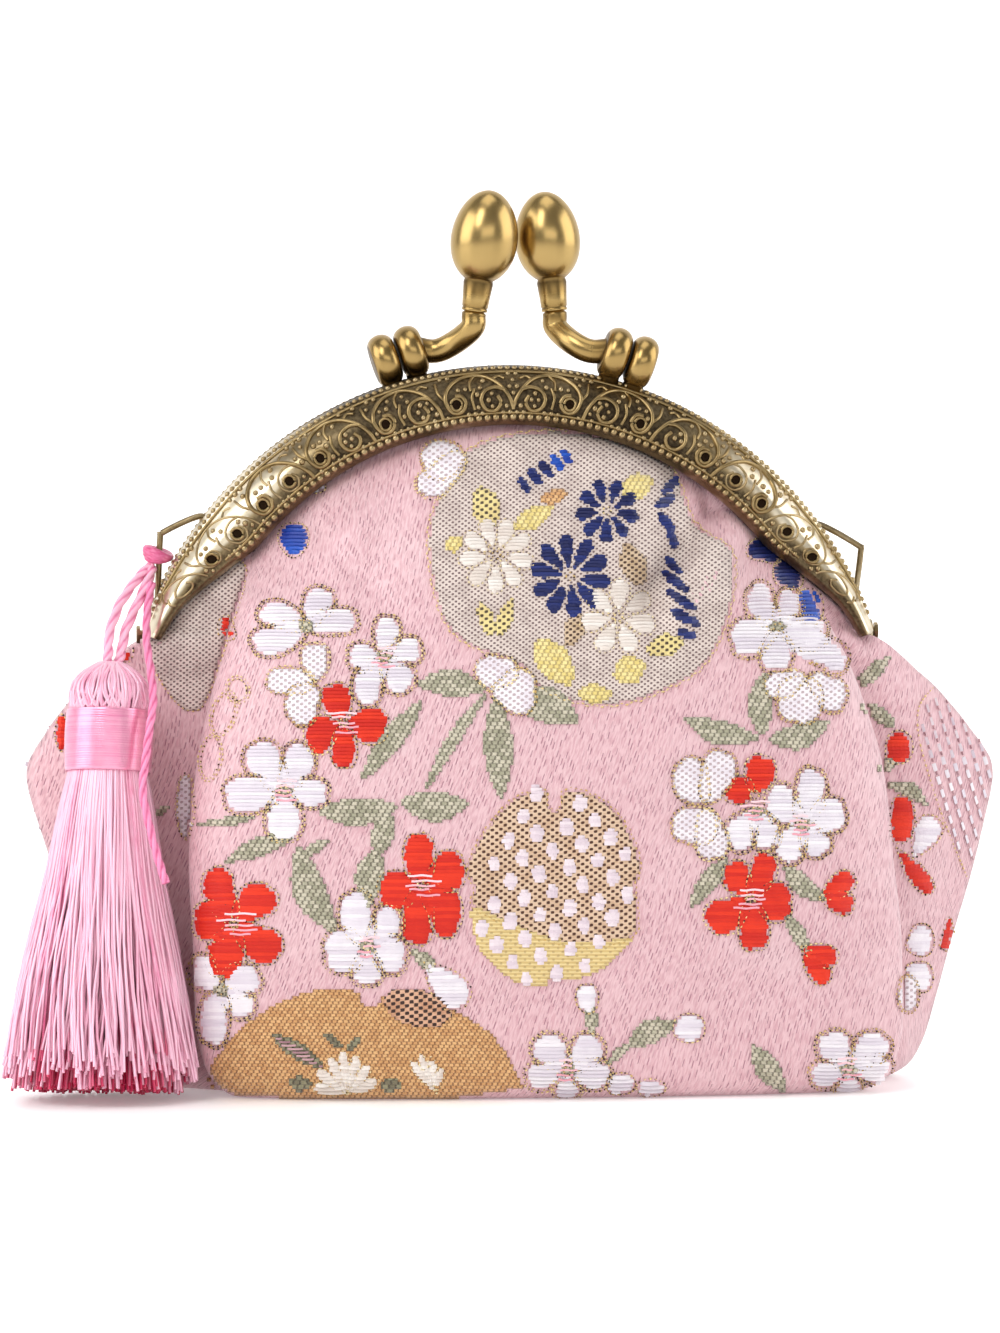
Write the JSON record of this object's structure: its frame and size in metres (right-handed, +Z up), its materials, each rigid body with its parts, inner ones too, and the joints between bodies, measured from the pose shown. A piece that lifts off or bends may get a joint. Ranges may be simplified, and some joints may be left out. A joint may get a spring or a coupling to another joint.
{
  "type": "coin purse",
  "caption": "Small floral brocade coin purse with a half-round embossed metal frame, kiss-lock knobs, flared side wings, a flat base and a silk tassel on an ear loop.",
  "frame": {"origin": "centre of the purse's footprint on the surface it stands on, tassel left out", "axes": "+Z up, +X to the purse's right as seen from the front, front faces -Y"},
  "size_m": [0.1149, 0.0525, 0.1025],
  "materials": {
    "frame_metal": "antique bronze plate with dark patina in the relief",
    "knob_metal": "satin antique bronze",
    "brocade": "satin brocade with woven flowers",
    "tassel_silk": "glossy floss",
    "cord_silk": "twisted glossy cord"
  },
  "bodies": {
    "root": {"front_arm": "frame_metal", "back_arm": "frame_metal", "left_knob": "knob_metal", "right_knob": "knob_metal", "hinge_rivet_left": "frame_metal", "hinge_rivet_right": "frame_metal", "front_panel": "brocade", "back_panel": "brocade", "tassel_skirt": "tassel_silk", "tassel_band": "tassel_silk", "tassel_knot": "cord_silk", "tassel_cord": "cord_silk", "tassel_tail": "cord_silk"}
  },
  "joints": []
}
